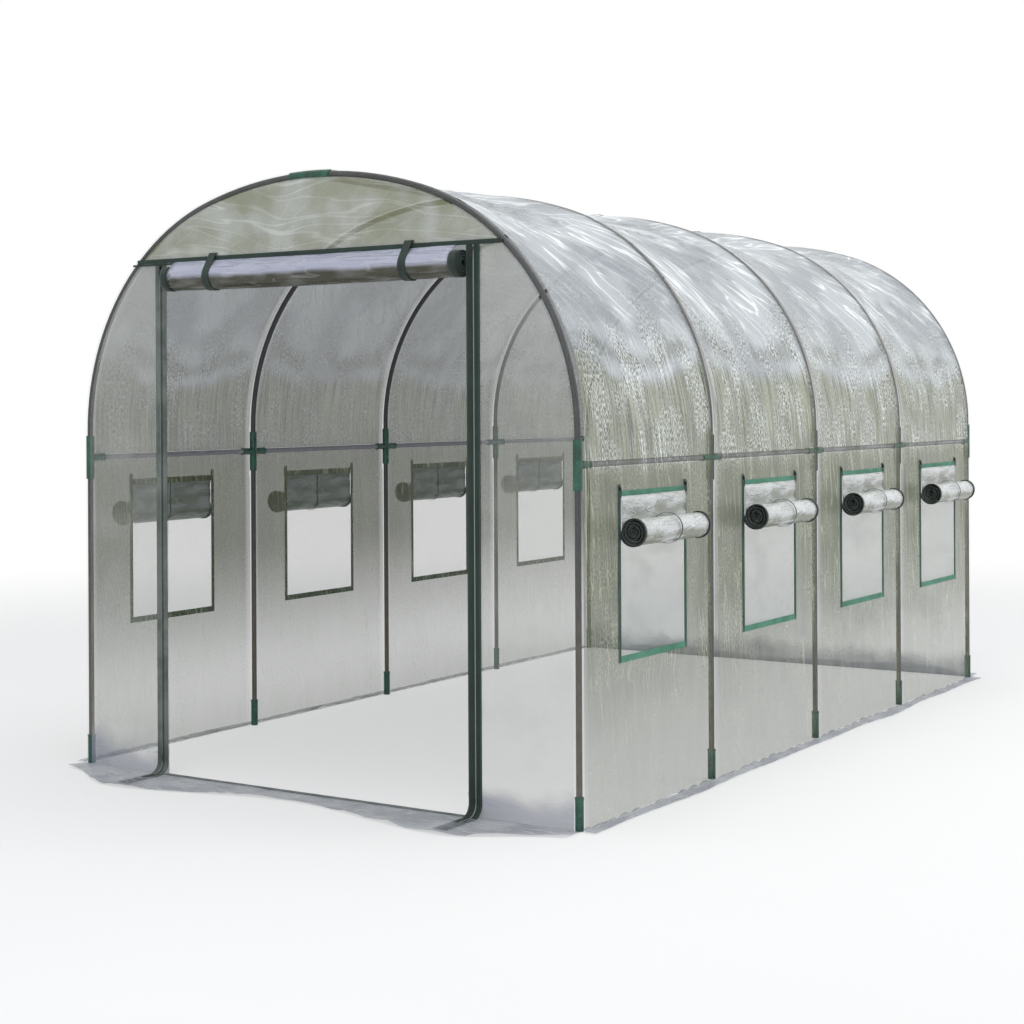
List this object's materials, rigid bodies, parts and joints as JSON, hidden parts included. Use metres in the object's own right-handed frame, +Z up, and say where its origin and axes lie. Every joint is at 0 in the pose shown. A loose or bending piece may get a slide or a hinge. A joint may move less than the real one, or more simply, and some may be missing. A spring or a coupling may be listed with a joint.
{
  "type": "tunnel greenhouse",
  "caption": "Walk-in tunnel greenhouse: tube hoops with moulded connectors under a clear film cover, with a rolled-up film door and netted wall windows whose flaps are rolled up.",
  "frame": {"origin": "centre of the footprint, at ground level", "axes": "+X across the tunnel, +Y along it away from the door, +Z up"},
  "size_m": [2.2108, 3.9828, 2.0068],
  "materials": {
    "steel_tube": "grey powder-coated steel tube, semi-gloss",
    "green_plastic": "moulded dark green plastic",
    "clear_film": "clear, slightly milky and wrinkled film",
    "rolled_film": "rolled clear film, silvery where it lies in many layers",
    "window_net": "fine woven insect net",
    "green_tape": "woven dark green binding tape with moulded zip",
    "roll_binding": "near-black green edge binding, rolled in a spiral",
    "elastic_tie": "thin dark elastic tie"
  },
  "bodies": {
    "root": {"back_film": "clear_film", "back_ground_flap": "clear_film", "cross_seam_tape": "green_tape", "door_roll": "rolled_film", "door_roll_ends": "roll_binding", "door_roll_straps": "green_tape", "door_sill_tape": "green_tape", "front_film_left": "clear_film", "front_film_over_door": "clear_film", "front_film_right": "clear_film", "front_ground_flap": "clear_film", "hoop_1": "steel_tube", "hoop_2": "steel_tube", "hoop_3": "steel_tube", "hoop_4": "steel_tube", "hoop_5": "steel_tube", "left_door_zip": "green_tape", "left_foot_sleeves": "green_plastic", "left_ground_flap": "clear_film", "left_side_connectors": "green_plastic", "left_side_rail": "steel_tube", "left_wall_film": "clear_film", "left_window_nets": "window_net", "left_window_roll_ends": "roll_binding", "left_window_rolls": "rolled_film", "left_window_straps": "elastic_tie", "left_window_tapes": "green_tape", "ridge_connectors": "green_plastic", "ridge_rail": "steel_tube", "right_door_zip": "green_tape", "right_foot_sleeves": "green_plastic", "right_ground_flap": "clear_film", "right_side_connectors": "green_plastic", "right_side_rail": "steel_tube", "right_wall_film": "clear_film", "right_window_nets": "window_net", "right_window_roll_ends": "roll_binding", "right_window_rolls": "rolled_film", "right_window_straps": "elastic_tie", "right_window_tapes": "green_tape", "roof_film_1": "clear_film", "roof_film_2": "clear_film", "roof_film_3": "clear_film", "roof_film_4": "clear_film"}
  },
  "joints": []
}
